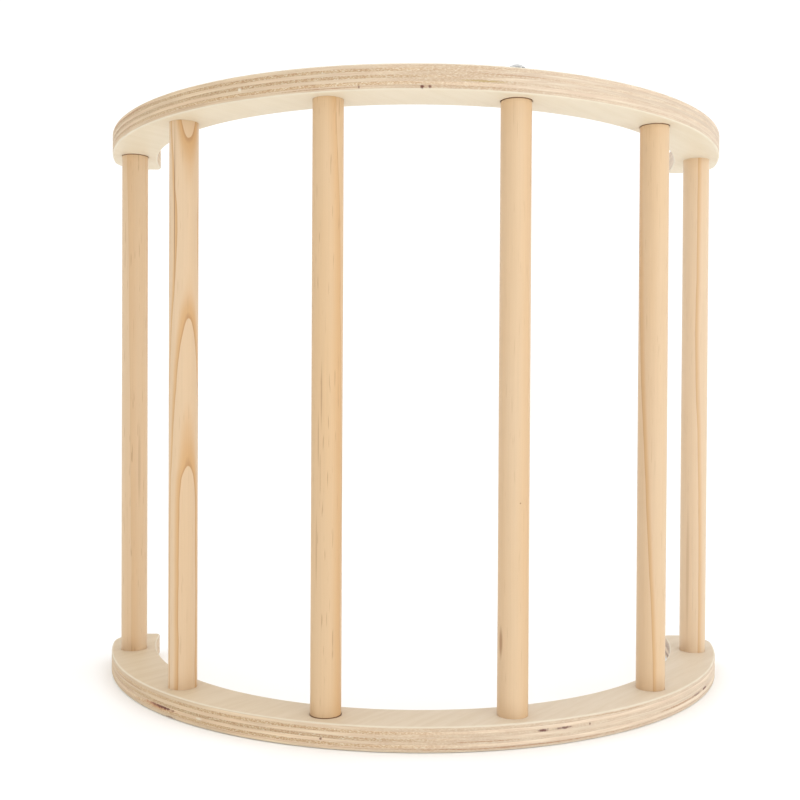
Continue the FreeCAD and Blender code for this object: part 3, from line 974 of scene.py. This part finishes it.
def light_world():
    """White walls, a dim gap above them, and a white ceiling that lights from overhead."""
    world = bpy.data.worlds.new("studio")
    world.use_nodes = True
    bpy.context.scene.world = world
    tree = world.node_tree
    where = tree.nodes.new("ShaderNodeTexCoord")
    split = tree.nodes.new("ShaderNodeSeparateXYZ")
    shade = tree.nodes.new("ShaderNodeValToRGB")
    tree.links.new(where.outputs["Generated"], split.inputs[0])
    tree.links.new(split.outputs[2], shade.inputs[0])
    tree.links.new(shade.outputs[0], tree.nodes["Background"].inputs["Color"])
    levels = [(0.365, 1.1), (0.375, 0.03), (0.55, 0.03), (0.57, 1.4)]  # sine of elevation, light
    stops = shade.color_ramp.elements
    while len(stops) < len(levels):
        stops.new(0.5)
    for stop, (height, light) in zip(stops, levels):
        stop.position = height
        stop.color = (light, light, light, 1.0)


def add_softbox(name, place, target, side, watts):
    """A square area light at place, turned towards target."""
    light = bpy.data.lights.new(name, "AREA")
    light.size = side
    light.energy = watts
    lamp = bpy.data.objects.new(name, light)
    bpy.context.scene.collection.objects.link(lamp)
    lamp.location = place
    lamp.rotation_euler = (Vector(target) - Vector(place)).to_track_quat("-Z", "Y").to_euler()


def place_camera():
    """In front of the barrier, just above its middle and a little to the left."""
    distance, left, height = 0.9612, 0.0201, 0.2474
    turn, tilt, roll = math.radians(-0.441), math.radians(-0.676), math.radians(0.292)
    data = bpy.data.cameras.new("camera")
    data.sensor_width = 36.0
    data.lens = 45.95
    camera = bpy.data.objects.new("camera", data)
    bpy.context.scene.collection.objects.link(camera)
    camera.matrix_world = (Matrix.Translation((-left, CENTRE_Y - distance, height))
                           @ Matrix.Rotation(turn, 4, "Z")
                           @ Matrix.Rotation(math.pi / 2 + tilt, 4, "X")
                           @ Matrix.Rotation(roll, 4, "Z"))
    bpy.context.scene.camera = camera


# ---------------------------------------------------------------- assembly

def build_object():
    to_centre = Matrix.Translation((0, CENTRE_Y, 0))
    turned_over = Matrix.Translation((0, CENTRE_Y, TOTAL_HEIGHT)) @ Matrix.Rotation(math.pi, 4, "Y")
    build_rail("rail_bottom", "bottom_rail",
               plywood("plywood_bottom", THICKNESS, BOTTOM_BOARD), to_centre, 1)
    build_rail("rail_top", "top_rail",
               plywood("plywood_top", TOTAL_HEIGHT, TOP_BOARD), turned_over, -1)
    zinc = metal("bright_zinc", light=(0.52, 0.515, 0.50), dark=(0.36, 0.36, 0.35),
                 base_roughness=0.1, cells=900.0)
    alloy = metal("cast_zinc_alloy", light=(0.52, 0.51, 0.48), dark=(0.38, 0.37, 0.35),
                  base_roughness=0.5, cells=1500.0)
    for index, (place, grain) in enumerate(zip(BAR_PLACES, BAR_GRAIN), start=1):
        build_bar(index, place, pine("pine_{}".format(index), index, place, grain))
        for level in ("top", "bottom"):
            build_bolt("{}_bolt_{}".format(level, index), zinc, level == "bottom")
            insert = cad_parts["{}_insert_{}".format(level, index)]
            insert.data.materials.clear()
            insert.data.materials.append(alloy)


build_object()
build_floor()
light_world()
add_softbox("key", place=(1.3, -1.5, 0.75), target=(0, 0, TOTAL_HEIGHT / 2), side=1.4, watts=9.0)
place_camera()
bpy.context.scene.view_settings.view_transform = "Standard"
